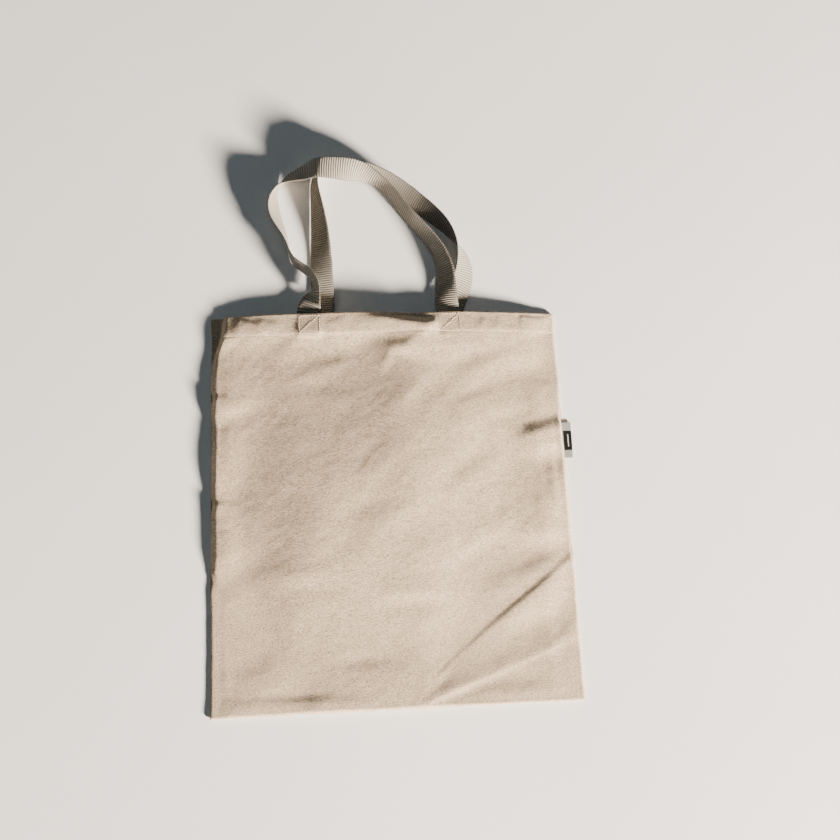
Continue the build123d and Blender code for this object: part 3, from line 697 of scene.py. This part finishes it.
def webbing(name, route, ends):
    """One length of ribbed webbing: sewn end, loop, sewn end."""
    r = np.array(route, float)
    pts, wid = r[:, :3], r[:, 3:]
    pts = np.vstack([ends[0][:, :3], pts, ends[1][:, :3]])
    wid = np.vstack([ends[0][:, 3:], wid, ends[1][:, 3:]])
    q = np.linspace(0, len(pts) - 1, 6000)
    P, U = catmull(pts, q), catmull(wid, q)
    s = np.r_[0, np.cumsum(np.linalg.norm(np.diff(P, axis=0), axis=1))]
    n = int(s[-1] / (RIB / 4))
    t = np.linspace(0, s[-1], n)
    P = np.stack([np.interp(t, s, P[:, k]) for k in range(3)], 1)
    U = np.stack([np.interp(t, s, U[:, k]) for k in range(3)], 1)
    T = np.gradient(P, axis=0)
    T /= np.linalg.norm(T, axis=1)[:, None]
    U = U - (U * T).sum(1)[:, None] * T
    U /= np.linalg.norm(U, axis=1)[:, None]
    N = np.cross(T, U)
    # section: flat faces with rounded selvedges
    half = WEB_W / 2
    a = np.array([-1, -0.985, -0.94, -0.8, -0.55, -0.28, 0, 0.28, 0.55, 0.8, 0.94, 0.985, 1])
    th = np.array([0.0, 0.55, 0.85, 1, 1, 1, 1, 1, 1, 1, 0.85, 0.55, 0.0])
    ring = [(x, h) for x, h in zip(a, th)] + [(x, -h) for x, h in zip(a[::-1][1:-1], th[::-1][1:-1])]
    ring = np.array(ring)
    m = len(ring)
    verts = np.zeros((n, m, 3))
    uv = np.zeros((n, m, 2))
    wob = np.interp(t, np.linspace(0, t[-1], 60), rng.normal(0, 0.12, 60))
    for k, (ax, ah) in enumerate(ring):
        bow = 0.28 * (1 - ax * ax)                      # ribs arch slightly across the width
        rib = np.cos(2 * np.pi * (t / RIB + bow + (0.5 if ah < 0 else 0)))
        thick = WEB_T / 2 * ah + np.sign(ah) * 0.13 * rib * (abs(ah) > 0.5)
        side = ax * (half + (0.10 * rib if abs(ax) > 0.9 else 0)) + wob
        verts[:, k] = P + U * side[:, None] + N * np.asarray(thick)[:, None]
        uv[:, k, 0] = (t + bow * RIB) * MM
        uv[:, k, 1] = ax * half * MM
    faces = []
    i, j = np.meshgrid(np.arange(n - 1), np.arange(m), indexing="ij")
    j2 = (j + 1) % m
    faces = np.stack([i * m + j, i * m + j2, (i + 1) * m + j2, (i + 1) * m + j], -1).reshape(-1, 4).tolist()
    faces.append(list(range(m))[::-1])
    faces.append([(n - 1) * m + k for k in range(m)])
    ob = make_mesh(name, verts.reshape(-1, 3), faces, uv.reshape(-1, 2))
    return ob, P, U, t[-1]


def front_tab(x, sgn, order):
    rows = []
    for y in (187.0, 193.0, 199.0, 205.0, 209.5):
        sl = (arch(x + 5, y) - arch(x - 5, y)) / 10
        w = np.array([1, 0, sl]) / math.hypot(1, sl) * sgn
        rows.append([x, y, arch(x, y) - CLOTH - HEM_PLY - 0.25 - WEB_T / 2, *w])
    rows = np.array(rows)
    return rows if order > 0 else rows[::-1]


def back_tab(x, sgn, order):
    rows = np.array([[x, y, 3.55, sgn, 0, 0] for y in (187.0, 193.0, 199.0, 205.0, 209.5)])
    return rows if order > 0 else rows[::-1]


front_strap, fP, fU, fL = webbing("front_handle_webbing", FRONT_ROUTE, (front_tab(FRONT_END_X[0], 1, 1), front_tab(FRONT_END_X[1], -1, -1)))
back_strap, bP, bU, bL = webbing("back_handle_webbing", BACK_ROUTE, (back_tab(BACK_END_X[0], 1, 1), back_tab(BACK_END_X[1], -1, -1)))
print("webbing lengths, mm:", round(fL), round(bL))

# ---------------------------------------------------------------- stitching --
def on_front(x, y, up=0.0):
    p = front_surface(np.asarray(x, float), np.asarray(y, float))
    p[..., 2] += up
    return p


def line_pts(a, b, n):
    t = np.linspace(0, 1, n)
    return a[0] + (b[0] - a[0]) * t, a[1] + (b[1] - a[1]) * t


def front_lines(segs, under=False):
    out = []
    for a, b in segs:
        x, y = line_pts(a, b, max(8, int(math.hypot(b[0] - a[0], b[1] - a[1]) / 1.0)))
        if under:
            p = front_inner(x, y)
            nn = np.tile([0, 0, -1.0], (len(x), 1))
        else:
            p = on_front(x, y)
            nn = np.tile([0, 0, 1.0], (len(x), 1))
        out.append(thread_run("", p, nn, 2.5, 3.0, 0.27))
    return out


def box_segs(cx, cy):
    w, h = BOX_W / 2, BOX_H / 2
    c = [(cx - w, cy - h), (cx + w, cy - h), (cx + w, cy + h), (cx - w, cy + h)]
    return [(c[0], c[1]), (c[1], c[2]), (c[2], c[3]), (c[3], c[0]), (c[0], c[2]), (c[1], c[3])]


CY = HH - 3 - BOX_H / 2
pieces_on = []
for nm, bx in (("left", FRONT_END_X[0]), ("right", FRONT_END_X[1])):
    ob = merged("front_%s_box_threads" % nm, front_lines(box_segs(bx, CY)))
    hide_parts("front_%s_box_stitch" % nm)
    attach(ob, "front")
    pieces_on.append(ob)
    # the same stitches on the webbing's inner face
    runs = []
    for a, b in box_segs(bx, CY):
        x, y = line_pts(a, b, 12)
        z = arch(x, y) - CLOTH - HEM_PLY - 0.25 - WEB_T - 0.02
        runs.append(thread_run("", np.stack([x, y, z], 1), np.tile([0, 0, -1.0], (12, 1)), 2.5, 3.0, 0.24))
    ob = merged("front_%s_box_threads_inside" % nm, runs)
    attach(ob, "front")
    pieces_on.append(ob)
for nm, bx in (("left", BACK_END_X[0]), ("right", BACK_END_X[1])):
    runs = []
    for a, b in box_segs(bx, CY):
        x, y = line_pts(a, b, 12)
        runs.append(thread_run("", np.stack([x, y, 0 * x + 4.5], 1), np.tile([0, 0, 1.0], (12, 1)), 2.5, 3.0, 0.24))
        runs.append(thread_run("", np.stack([x, y, 0 * x + 0.14], 1), np.tile([0, 0, -1.0], (12, 1)), 2.5, 3.0, 0.06))
    ob = merged("back_%s_box_threads" % nm, runs)
    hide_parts("back_%s_box_stitch" % nm)
    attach(ob, "back")
    pieces_on.append(ob)

hem_runs = {"left": [], "right": []}
for side, sx in (("left", -1), ("right", 1)):
    segs = [((sx * 0.6, HEM_LINE_Y), (sx * (HW - 2.5), HEM_LINE_Y))]
    hem_runs[side] = front_lines(segs) + front_lines(segs, under=True)
hem_front = {s: merged("front_hem_threads_" + s, hem_runs[s]) for s in hem_runs}
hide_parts("front_hem_stitch")
runs = []
x, y = line_pts((-HW + 4, HEM_LINE_Y), (HW - 4, HEM_LINE_Y), 300)
runs.append(thread_run("", np.stack([x, y, back_inner(x, y)], 1), np.tile([0, 0, 1.0], (300, 1)), 2.5, 3.0, 0.26))
runs.append(thread_run("", np.stack([x, y, 0 * x + 0.16], 1), np.tile([0, 0, -1.0], (300, 1)), 2.5, 3.0, 0.07))
hem_back = merged("back_hem_threads", runs)
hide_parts("back_hem_stitch")
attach(hem_back, "back")


def overlock(name, a, b, width, z):
    """Thread bound over a raw edge: a zigzag tube."""
    a, b = np.array(a, float), np.array(b, float)
    L = np.linalg.norm(b - a)
    t = (b - a) / L
    nrm = np.array([-t[1], t[0]])
    k = int(L / 1.6)
    pts = []
    for i in range(k + 1):
        p = a + t * (L * i / k) + nrm * (width / 2 * (1 if i % 2 else -1))
        pts.append([p[0], p[1], z + (0.15 if i % 2 else 0.0)])
    pts = np.array(pts)
    fine = catmull(pts, np.linspace(0, len(pts) - 1, len(pts) * 3))
    n, m, r = len(fine), 5, 0.22
    T = np.gradient(fine, axis=0)
    T /= np.linalg.norm(T, axis=1)[:, None]
    up = np.array([0, 0, 1.0])
    B = np.cross(T, up)
    B /= np.linalg.norm(B, axis=1)[:, None]
    V = np.zeros((n, m, 3))
    for q in range(m):
        an = 2 * math.pi * q / m
        V[:, q] = fine + B * (r * math.cos(an)) + up * (r * math.sin(an))
    i, j = np.meshgrid(np.arange(n - 1), np.arange(m), indexing="ij")
    j2 = (j + 1) % m
    F = np.stack([i * m + j, i * m + j2, (i + 1) * m + j2, (i + 1) * m + j], -1).reshape(-1, 4).tolist()
    F.append(list(range(m))[::-1])
    F.append([(n - 1) * m + q for q in range(m)])
    ob = make_mesh(name, V.reshape(-1, 3), F)
    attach(ob, "back")
    return ob


ol = overlock("left_seam_overlock", (-HW + SEAM_D, -HH + 14), (-HW + SEAM_D, HH - HEM_D - 1), 3.4, 1.85)
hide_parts("left_seam_thread")
orr = overlock("right_seam_overlock", (HW - SEAM_D, -HH + 14), (HW - SEAM_D, HH - HEM_D - 1), 3.4, 1.85)
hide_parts("right_seam_thread")
ob_ = overlock("bottom_seam_overlock", (-HW + SEAM_D + 3, -HH + SEAM_D), (HW - SEAM_D - 3, -HH + SEAM_D), 3.4, 1.85)
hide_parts("bottom_seam_thread")


# --------------------------------------------------------------------- label --
def label():
    """Folded tape: two plies that come out of the seam and meet in a rounded fold."""
    y0, y1 = 44.0, 84.0
    path = []
    for x in np.linspace(188.6, 197.6, 10):
        path.append((x, 2.02))
    for a in np.linspace(math.pi / 2, -math.pi / 2, 9):
        path.append((198.7 + 0.45 * math.cos(a), 1.62 + 0.45 * math.sin(a)))
    for x in np.linspace(197.6, 188.6, 10):
        path.append((x, 1.22))
    path = np.array(path)
    ys_ = np.linspace(y0, y1, 60)
    t = 0.32
    d = np.gradient(path, axis=0)
    d /= np.linalg.norm(d, axis=1)[:, None]
    n = np.stack([-d[:, 1], d[:, 0]], 1)
    outer = np.zeros((len(path), len(ys_), 3))
    inner = outer.copy()
    u = np.r_[0, np.cumsum(np.linalg.norm(np.diff(path, axis=0), axis=1))]
    for j, y in enumerate(ys_):
        curl = 0.35 * math.sin((y - y0) / (y1 - y0) * math.pi * 1.3) - 0.1
        lift = curl * np.clip((path[:, 0] - 190) / 9, 0, 1)
        skew = -0.10 * (y1 - y) * 0.35 * np.clip((path[:, 0] - 190) / 9, 0, 1) * 0.4
        outer[:, j] = np.stack([path[:, 0] + n[:, 0] * t / 2 + skew, np.full(len(path), y), path[:, 1] + n[:, 1] * t / 2 + lift], 1)
        inner[:, j] = np.stack([path[:, 0] - n[:, 0] * t / 2 + skew, np.full(len(path), y), path[:, 1] - n[:, 1] * t / 2 + lift], 1)
    return shell("side_label_tape", outer, inner, flip=True)


tape = label()
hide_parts("side_label")


# ----------------------------------------------------------------- materials --
class Mat:
    def __init__(self, name):
        self.m = bpy.data.materials.new(name)
        self.m.use_nodes = True
        self.t = self.m.node_tree
        self.b = self.t.nodes["Principled BSDF"]

    def n(self, kind, **kw):
        node = self.t.nodes.new(kind)
        for k, v in kw.items():
            if k.startswith("in_"):
                node.inputs[k[3:].replace("_", " ")].default_value = v
            else:
                setattr(node, k, v)
        return node

    def link(self, a, b):
        self.t.links.new(a, b)

    def val(self, x):
        return x

    def math(self, op, a, b=None, clamp=False):
        node = self.t.nodes.new("ShaderNodeMath")
        node.operation = op
        node.use_clamp = clamp
        for i, v in enumerate((a, b)):
            if v is None:
                continue
            if isinstance(v, (int, float)):
                node.inputs[i].default_value = v
            else:
                self.link(v, node.inputs[i])
        return node.outputs[0]

    def mapped(self, src, scale, loc=(0, 0, 0), rot=(0, 0, 0)):
        node = self.t.nodes.new("ShaderNodeMapping")
        node.inputs["Scale"].default_value = scale
        node.inputs["Location"].default_value = loc
        node.inputs["Rotation"].default_value = rot
        self.link(src, node.inputs["Vector"])
        return node.outputs[0]

    def noise(self, vec, scale=1.0, detail=3.0, rough=0.55):
        node = self.t.nodes.new("ShaderNodeTexNoise")
        node.inputs["Scale"].default_value = scale
        node.inputs["Detail"].default_value = detail
        node.inputs["Roughness"].default_value = rough
        self.link(vec, node.inputs["Vector"])
        return node.outputs[0]

    def ramp(self, fac, stops, interp="LINEAR"):
        node = self.t.nodes.new("ShaderNodeValToRGB")
        node.color_ramp.interpolation = interp
        e = node.color_ramp.elements
        while len(e) > 1:
            e.remove(e[-1])
        e[0].position, e[0].color = stops[0][0], (*stops[0][1], 1)
        for p, c in stops[1:]:
            k = e.new(p)
            k.color = (*c, 1)
        self.link(fac, node.inputs[0])
        return node.outputs[0]

    def mix(self, fac, a, b, blend="MIX"):
        node = self.t.nodes.new("ShaderNodeMix")
        node.data_type = "RGBA"
        node.blend_type = blend
        for s, v in ((0, fac), (6, a), (7, b)):
            if isinstance(v, (int, float)):
                node.inputs[s].default_value = v
            elif isinstance(v, tuple):
                node.inputs[s].default_value = (*v, 1)
            else:
                self.link(v, node.inputs[s])
        return node.outputs[2]

    def bump(self, height, dist, strength=1.0, normal=None):
        node = self.t.nodes.new("ShaderNodeBump")
        node.inputs["Distance"].default_value = dist
        node.inputs["Strength"].default_value = strength
        self.link(height, node.inputs["Height"])
        if normal is not None:
            self.link(normal, node.inputs["Normal"])
        return node.outputs[0]


def canvas_material():
    m = Mat("natural_canvas")
    co = m.t.nodes.new("ShaderNodeTexCoord").outputs["Object"]
    # yarns: plain weave, thicker across the bag, with slubs
    warp = m.noise(m.mapped(co, (1450, 190, 40)), 1, 2, 0.5)
    weft = m.noise(m.mapped(co, (520, 1500, 40)), 1, 3, 0.65)
    slub = m.noise(m.mapped(co, (430, 1000, 30), loc=(3.1, 7.7, 0)), 1, 2, 0.6)
    wv = m.t.nodes.new("ShaderNodeTexWave")
    wv.bands_direction = "X"
    wv.inputs["Scale"].default_value = 1
    wv.inputs["Distortion"].default_value = 1.1
    wv.inputs["Detail"].default_value = 2
    m.link(m.mapped(co, (470, 470, 0)), wv.inputs["Vector"])
    wv2 = m.t.nodes.new("ShaderNodeTexWave")
    wv2.bands_direction = "Y"
    wv2.inputs["Scale"].default_value = 1
    wv2.inputs["Distortion"].default_value = 1.3
    wv2.inputs["Detail"].default_value = 2
    m.link(m.mapped(co, (430, 430, 0)), wv2.inputs["Vector"])
    weave = m.math("MULTIPLY", m.math("ADD", wv.outputs["Fac"], 0.35), m.math("ADD", wv2.outputs["Fac"], 0.35))
    broad = m.noise(m.mapped(co, (16, 13, 5)), 1, 3, 0.55)
    mid = m.noise(m.mapped(co, (70, 150, 20), loc=(1.3, 2.1, 0)), 1, 4, 0.6)
    base = m.ramp(mid, [(0.30, CANVAS_A), (0.52, CANVAS_B), (0.74, CANVAS_C)])
    base = m.mix(m.math("MULTIPLY", m.math("SUBTRACT", broad, 0.35), 0.55, True), base, CANVAS_D)
    yarn = m.ramp(m.math("ADD", m.math("MULTIPLY", slub, 0.6), m.math("MULTIPLY", weft, 0.4)),
                  [(0.36, (0.42, 0.415, 0.40)), (0.50, (0.95, 0.95, 0.95)), (0.62, (1.38, 1.37, 1.35))])
    col = m.mix(0.85, base, yarn, "MULTIPLY")
    col = m.mix(m.math("MULTIPLY", m.math("SUBTRACT", 0.75, weave, True), 0.22), col, (0.40, 0.31, 0.22), "MIX")
    # dark flecks of seed husk, and pale nubs
    vo = m.t.nodes.new("ShaderNodeTexVoronoi")
    vo.inputs["Scale"].default_value = 1
    m.link(m.mapped(co, (150, 210, 60)), vo.inputs["Vector"])
    near = m.math("LESS_THAN", vo.outputs["Distance"], 0.085)
    sepc = m.t.nodes.new("ShaderNodeSeparateColor")
    m.link(vo.outputs["Color"], sepc.inputs[0])
    some = m.math("GREATER_THAN", sepc.outputs[0], 0.62)
    fleck = m.math("MULTIPLY", m.math("MULTIPLY", near, some), 0.62)
    col = m.mix(fleck, col, (0.20, 0.14, 0.10))
    vn = m.t.nodes.new("ShaderNodeTexVoronoi")
    vn.inputs["Scale"].default_value = 1
    m.link(m.mapped(co, (95, 240, 60), loc=(4.2, 1.1, 0)), vn.inputs["Vector"])
    nub = m.math("MULTIPLY", m.math("LESS_THAN", vn.outputs["Distance"], 0.11), 0.5)
    col = m.mix(nub, col, (0.86, 0.78, 0.69))
    m.link(col, m.b.inputs["Base Color"])
    rough = m.math("ADD", m.math("MULTIPLY", slub, 0.16), 0.80)
    m.link(rough, m.b.inputs["Roughness"])
    m.b.inputs["Specular IOR Level"].default_value = 0.18
    m.b.inputs["Sheen Weight"].default_value = 0.12
    m.b.inputs["Sheen Roughness"].default_value = 0.5
    h = m.math("ADD", m.math("MULTIPLY", weave, 0.55), m.math("ADD", m.math("MULTIPLY", weft, 0.8), m.math("MULTIPLY", warp, 0.45)))
    nb = m.bump(h, 0.00028, 0.75)
    nb = m.bump(slub, 0.0006, 0.9, nb)
    nb = m.bump(mid, 0.0006, 0.4, nb)
    m.link(nb, m.b.inputs["Normal"])
    return m.m


def webbing_material():
    m = Mat("cotton_webbing")
    uvn = m.t.nodes.new("ShaderNodeUVMap")
    uvn.uv_map = "UVMap"
    uv = uvn.outputs[0]
    sep = m.t.nodes.new("ShaderNodeSeparateXYZ")
    m.link(uv, sep.inputs[0])
    u, v = sep.outputs[0], sep.outputs[1]
    wob = m.noise(m.mapped(uv, (300, 160, 1)), 1, 2, 0.5)
    ph = m.math("ADD", m.math("MULTIPLY", u, 2 * math.pi / (RIB * MM)), m.math("MULTIPLY", wob, 1.4))
    rib = m.math("ADD", m.math("MULTIPLY", m.math("COSINE", ph), 0.5), 0.5)
    yarn = m.math("ADD", m.math("MULTIPLY", m.math("SINE", m.math("ADD", m.math("MULTIPLY", v, 2 * math.pi / 0.00125), m.math("MULTIPLY", ph, 0.5))), 0.5), 0.5)
    fuzz = m.noise(m.mapped(uv, (900, 900, 1)), 1, 4, 0.65)
    tone = m.noise(m.mapped(uv, (45, 30, 1)), 1, 3, 0.55)
    # rib colour: the yarns' own tone from crest to trough, plus painted shade that darkens each trough between ribs
    # nearly to black
    col = m.ramp(m.math("ADD", m.math("MULTIPLY", rib, 0.60), m.math("MULTIPLY", fuzz, 0.40)),
                 [(0.14, WEB_A), (0.50, WEB_B), (0.88, WEB_C)])
    col = m.mix(m.math("MULTIPLY", m.math("SUBTRACT", tone, 0.3, True), 0.5), col, WEB_D)
    col = m.mix(m.math("MULTIPLY", m.math("SUBTRACT", 0.6, yarn, True), 0.35), col, (0.30, 0.27, 0.22))
    # painted shade: the colour at the selvedge goes nearly black, so the lit narrow side of the webbing shows dark
    edge = m.math("MULTIPLY", m.math("SUBTRACT", m.math("ABSOLUTE", v), 0.0115, True), 700.0, True)
    col = m.mix(m.math("MULTIPLY", edge, 0.9), col, (0.022, 0.020, 0.017))
    m.link(col, m.b.inputs["Base Color"])
    m.link(m.math("ADD", m.math("MULTIPLY", fuzz, 0.2), 0.74), m.b.inputs["Roughness"])
    m.b.inputs["Specular IOR Level"].default_value = 0.2
    m.b.inputs["Sheen Weight"].default_value = 0.12
    nb = m.bump(m.math("ADD", m.math("MULTIPLY", rib, 0.8), m.math("MULTIPLY", yarn, 0.5)), 0.00052, 0.85)
    nb = m.bump(fuzz, 0.0002, 0.6, nb)
    m.link(nb, m.b.inputs["Normal"])
    return m.m


def thread_material(name, a, b):
    m = Mat(name)
    co = m.t.nodes.new("ShaderNodeTexCoord").outputs["Object"]
    ply = m.noise(m.mapped(co, (2600, 2600, 2600)), 1, 2, 0.5)
    tone = m.noise(m.mapped(co, (120, 120, 120)), 1, 2, 0.5)
    col = m.mix(m.ramp(tone, [(0.35, (0, 0, 0)), (0.65, (1, 1, 1))]), a, b)
    col = m.mix(0.5, col, m.ramp(ply, [(0.35, (0.72, 0.70, 0.66)), (0.6, (1.0, 1.0, 1.0))]), "MULTIPLY")
    m.link(col, m.b.inputs["Base Color"])
    m.link(m.math("ADD", m.math("MULTIPLY", ply, 0.2), 0.6), m.b.inputs["Roughness"])
    m.link(m.bump(ply, 0.00012, 0.8), m.b.inputs["Normal"])
    return m.m


def label_material():
    m = Mat("label_tape_print")
    co = m.t.nodes.new("ShaderNodeTexCoord").outputs["Object"]
    sep = m.t.nodes.new("ShaderNodeSeparateXYZ")
    m.link(co, sep.inputs[0])
    x, y = sep.outputs[0], sep.outputs[1]
    inside = m.math("MULTIPLY", m.math("GREATER_THAN", y, 0.0525), m.math("LESS_THAN", y, 0.0742))
    inside = m.math("MULTIPLY", inside, m.math("GREATER_THAN", x, 0.1898))
    # one plain woven line along the block, no lettering
    band = m.math("LESS_THAN", m.math("ABSOLUTE", m.math("SUBTRACT", x, 0.1948)), 0.0005)
    mid = m.math("MULTIPLY", m.math("GREATER_THAN", y, 0.0565), m.math("LESS_THAN", y, 0.0702))
    mark = m.math("MULTIPLY", band, m.math("MULTIPLY", mid, inside))
    wv = m.noise(m.mapped(co, (1800, 700, 400)), 1, 3, 0.6)
    tape = m.ramp(wv, [(0.3, (0.20, 0.20, 0.19)), (0.7, (0.33, 0.33, 0.32))])
    black = m.ramp(wv, [(0.3, (0.004, 0.004, 0.004)), (0.7, (0.012, 0.012, 0.012))])
    col = m.mix(inside, tape, black)
    col = m.mix(mark, col, (0.55, 0.55, 0.53))
    m.link(col, m.b.inputs["Base Color"])
    m.b.inputs["Specular IOR Level"].default_value = 0.12
    m.link(m.math("ADD", m.math("MULTIPLY", wv, 0.25), 0.7), m.b.inputs["Roughness"])
    m.link(m.bump(wv, 0.00015, 0.7), m.b.inputs["Normal"])
    return m.m


CANVAS_A, CANVAS_B, CANVAS_C, CANVAS_D = (0.50, 0.385, 0.262), (0.55, 0.43, 0.297), (0.60, 0.475, 0.335), (0.52, 0.41, 0.29)
# WEB_A, the colour at the rib troughs, is painted shade in the grooves between ribs
WEB_A, WEB_B, WEB_C, WEB_D = (0.070, 0.065, 0.055), (0.28, 0.25, 0.205), (0.52, 0.45, 0.355), (0.32, 0.295, 0.245)

canvas = canvas_material()
web = webbing_material()
thread = thread_material("stitch_thread_cotton", (0.70, 0.60, 0.49), (0.80, 0.71, 0.60))
seam = thread_material("seam_thread_cotton", (0.78, 0.71, 0.61), (0.86, 0.80, 0.71))
printed = label_material()

for ob in (halves["left"], halves["right"], back):
    ob.data.materials.append(canvas)
for ob in (front_strap, back_strap):
    ob.data.materials.append(web)
for ob in pieces_on + [hem_front["left"], hem_front["right"], hem_back]:
    ob.data.materials.append(thread)
for ob in (ol, orr, ob_):
    ob.data.materials.append(seam)
tape.data.materials.append(printed)

# ------------------------------------------------- what rides on which body --
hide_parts("front_panel")
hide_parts("back_panel")
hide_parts("front_handle_left_end", "front_handle_right_end", "front_handle_loop")
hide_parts("back_handle_left_end", "back_handle_right_end", "back_handle_loop")
for side, sx in (("left", -1), ("right", 1)):
    for ob in (halves[side], hem_front[side]):
        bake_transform(ob)
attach(back, "back")
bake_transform(front_strap)
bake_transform(back_strap)
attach(tape, "label")

# --------------------------------------------------- floor, light and camera --
bpy.ops.mesh.primitive_plane_add(size=11.0, location=(0, 0.3, -0.0002))
floor = bpy.context.object
floor.name = "floor"
fm = Mat("pale_floor")
fco = fm.t.nodes.new("ShaderNodeTexCoord").outputs["Object"]
fn = fm.noise(fm.mapped(fco, (3, 3, 3)), 1, 2, 0.5)
fm.link(fm.ramp(fn, [(0.3, (0.86, 0.86, 0.86)), (0.7, (0.90, 0.90, 0.90))]), fm.b.inputs["Base Color"])
fm.b.inputs["Roughness"].default_value = 1.0
fm.b.inputs["Specular IOR Level"].default_value = 0.05
floor.data.materials.append(fm.m)


def area(name, loc, target, size, power, color=(1, 1, 1)):
    d = bpy.data.lights.new(name, "AREA")
    d.shape = "DISK"
    d.size = size
    d.energy = power
    d.color = color
    o = bpy.data.objects.new(name, d)
    bpy.context.scene.collection.objects.link(o)
    o.location = loc
    o.rotation_euler = (Vector(target) - Vector(loc)).to_track_quat("-Z", "Y").to_euler()
    return o


area("key", (3.18, -2.90, 1.316), (0, 0.05, 0), 0.75, 1780, (1.0, 0.88, 0.76))
area("fill", (-0.6, 0.2, 2.8), (0, 0.05, 0), 2.6, 5, (0.80, 0.95, 1.0))
world = bpy.data.worlds.new("studio")
bpy.context.scene.world = world
world.use_nodes = True
bg = world.node_tree.nodes["Background"]
bg.inputs[0].default_value = (0.85, 0.945, 1.0, 1)
# a pale backdrop near the horizon, dim overhead
wt = world.node_tree
wdir = wt.nodes.new("ShaderNodeTexCoord").outputs["Generated"]
wsep = wt.nodes.new("ShaderNodeSeparateXYZ")
wt.links.new(wdir, wsep.inputs[0])
wramp = wt.nodes.new("ShaderNodeValToRGB")
wramp.color_ramp.interpolation = "EASE"
wramp.color_ramp.elements[0].position, wramp.color_ramp.elements[0].color = 0.0, (0.46, 0.46, 0.46, 1)
wramp.color_ramp.elements[1].position, wramp.color_ramp.elements[1].color = 0.62, (0.026, 0.026, 0.026, 1)
wt.links.new(wsep.outputs[2], wramp.inputs[0])
wt.links.new(wramp.outputs[0], bg.inputs[1])

cam_data = bpy.data.cameras.new("camera")
cam = bpy.data.objects.new("camera", cam_data)
bpy.context.scene.collection.objects.link(cam)
right = Vector((0.9949868, -0.04792852, 0.08777318)).normalized()
up = Vector((0.02465635, 0.96814941, 0.24915613))
fwd = Vector((0.09691924, 0.2457429, -0.96447763)).normalized()
up = (up - fwd * up.dot(fwd) - right * up.dot(right)).normalized()
rot = Matrix((right, up, -fwd)).transposed().to_4x4()
cam.matrix_world = Matrix.Translation(Vector((-0.07140622, -0.17548987, 1.04571258))) @ rot
cam_data.sensor_width = 36.0
cam_data.lens = 42.799
cam_data.clip_start = 0.02
bpy.context.scene.camera = cam
